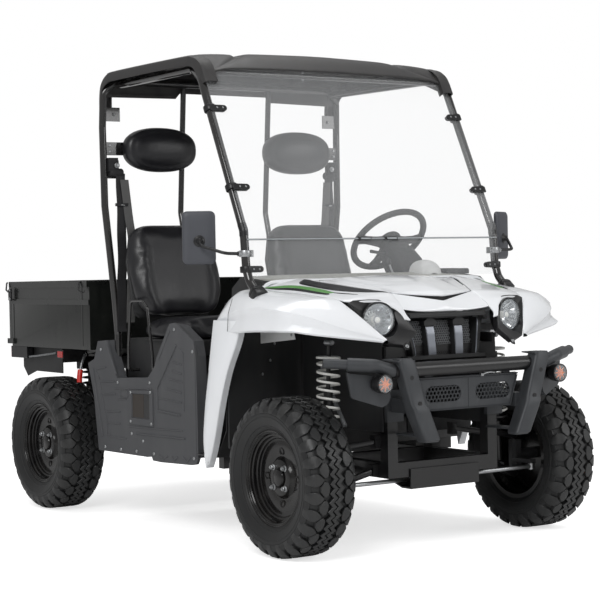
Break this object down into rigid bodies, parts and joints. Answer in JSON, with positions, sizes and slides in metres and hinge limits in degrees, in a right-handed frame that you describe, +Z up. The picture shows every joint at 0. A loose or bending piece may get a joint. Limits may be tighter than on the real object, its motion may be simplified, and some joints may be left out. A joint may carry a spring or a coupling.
{
  "type": "side by side utility vehicle",
  "caption": "Two-seat side by side utility vehicle with open cab frame, moulded roof, split windscreen, steering front wheels and a tipping cargo bed.",
  "frame": {"origin": "on the ground, midway along the overall length and width", "axes": "+Z up, -Y forward, +X towards the driver's side (the vehicle's left)"},
  "size_m": [1.7382, 2.914, 2.08],
  "materials": {
    "frame_black": "gloss",
    "chassis_black": "satin",
    "bumper_grey": "satin",
    "plate_grey": "satin",
    "body_white": "gloss",
    "panel_grey": "textured",
    "trim_black": "textured",
    "roof_black": "gloss",
    "bezel_black": "satin",
    "screen_clear": "clear",
    "lens_clear": "clear",
    "lens_amber": "gloss",
    "lens_red": "gloss",
    "seat_vinyl": "grained",
    "cowl_grey": "satin",
    "grip_black": "matte",
    "belt_web": "woven",
    "tread_black": "matte",
    "rim_black": "gloss",
    "spring_white": "gloss",
    "axle_black": "cast",
    "steel": "satin"
  },
  "bodies": {
    "chassis": {"chassis_frame": "chassis_black", "floor_pan": "trim_black", "skid_plate": "bumper_grey", "bumper_posts": "bumper_grey", "bumper_tube": "frame_black", "bumper_plate": "bumper_grey", "lamp_plates": "plate_grey", "turn_lamps": "lens_amber", "fenders": "body_white", "front_cover": "body_white", "grille": "trim_black", "headlight_bezels": "bezel_black", "headlight_lenses": "lens_clear", "wheel_liners": "trim_black", "roof": "roof_black", "front_posts": "frame_black", "rear_hoop": "frame_black", "inner_posts": "frame_black", "windscreen": "screen_clear", "screen_clamps": "trim_black", "screen_rail": "trim_black", "dashboard": "cowl_grey", "steering_column": "trim_black", "seat_base": "trim_black", "seat_cushions": "seat_vinyl", "seat_backs": "seat_vinyl", "headrests": "seat_vinyl", "side_panels": "panel_grey", "hip_hoops": "frame_black", "seat_belts": "belt_web", "mirrors": "trim_black", "front_arms": "chassis_black", "shocks": "spring_white", "rear_axle": "axle_black", "drive_unit": "axle_black", "battery_pack": "trim_black"},
    "hood_lid": {"hood": "body_white"},
    "left_knuckle": {"knuckle_left": "axle_black"},
    "right_knuckle": {"knuckle_right": "axle_black"},
    "rack": {"tie_rods": "steel"},
    "helm": {"steering_wheel": "grip_black"},
    "bed": {"bed_tub": "frame_black", "tail_lamps": "lens_red", "rear_guards": "trim_black"},
    "gate": {"tailgate": "frame_black"},
    "wheel_front_right": {"tyre_front_right": "tread_black", "rim_front_right": "rim_black"},
    "wheel_front_left": {"tyre_front_left": "tread_black", "rim_front_left": "rim_black"},
    "wheel_rear_right": {"tyre_rear_right": "tread_black", "rim_rear_right": "rim_black"},
    "wheel_rear_left": {"tyre_rear_left": "tread_black", "rim_rear_left": "rim_black"}
  },
  "joints": [
    {"name": "steer_left", "type": "hinge", "parent": "chassis", "child": "left_knuckle", "pos_m": [0.54, -1.043, 0.3175], "axis": [0, 0, 1], "range_deg": [-28, 28]},
    {"name": "steer_right", "type": "hinge", "parent": "chassis", "child": "right_knuckle", "pos_m": [-0.54, -1.043, 0.3175], "axis": [0, 0, 1], "range_deg": [-28, 28]},
    {"name": "steering_wheel_turn", "type": "hinge", "parent": "chassis", "child": "helm", "pos_m": [0.37, -0.408, 1.26], "axis": [0, 0.6921, 0.7218], "range_deg": [-336, 336]},
    {"name": "steering_rack", "type": "slide", "parent": "chassis", "child": "rack", "axis": [1, 0, 0], "range_m": [-0.0517, 0.0517]},
    {"name": "wheel_spin_front_left", "type": "hinge", "parent": "left_knuckle", "child": "wheel_front_left", "pos_m": [0.629, -1.043, 0.3175], "axis": [1, 0, 0], "continuous": true},
    {"name": "wheel_spin_front_right", "type": "hinge", "parent": "right_knuckle", "child": "wheel_front_right", "pos_m": [-0.629, -1.043, 0.3175], "axis": [1, 0, 0], "continuous": true},
    {"name": "wheel_spin_rear_left", "type": "hinge", "parent": "chassis", "child": "wheel_rear_left", "pos_m": [0.633, 0.959, 0.3175], "axis": [1, 0, 0], "continuous": true},
    {"name": "wheel_spin_rear_right", "type": "hinge", "parent": "chassis", "child": "wheel_rear_right", "pos_m": [-0.633, 0.959, 0.3175], "axis": [1, 0, 0], "continuous": true},
    {"name": "bed_tilt", "type": "hinge", "parent": "chassis", "child": "bed", "pos_m": [0, 1.37, 0.756], "axis": [-1, 0, 0], "range_deg": [0, 40]},
    {"name": "tailgate_drop", "type": "hinge", "parent": "bed", "child": "gate", "pos_m": [0, 1.444, 0.798], "axis": [-1, 0, 0], "range_deg": [0, 90]},
    {"name": "hood_lift", "type": "hinge", "parent": "chassis", "child": "hood_lid", "pos_m": [0, -0.856, 1.066], "axis": [-1, 0, 0], "range_deg": [0, 50]}
  ],
  "couplings": [
    {"joint": "steer_right", "follows": "steer_left", "ratio": 1},
    {"joint": "steering_wheel_turn", "follows": "steer_left", "ratio": 12},
    {"joint": "steering_rack", "follows": "steer_left", "m_per_rad": 0.1056}
  ]
}
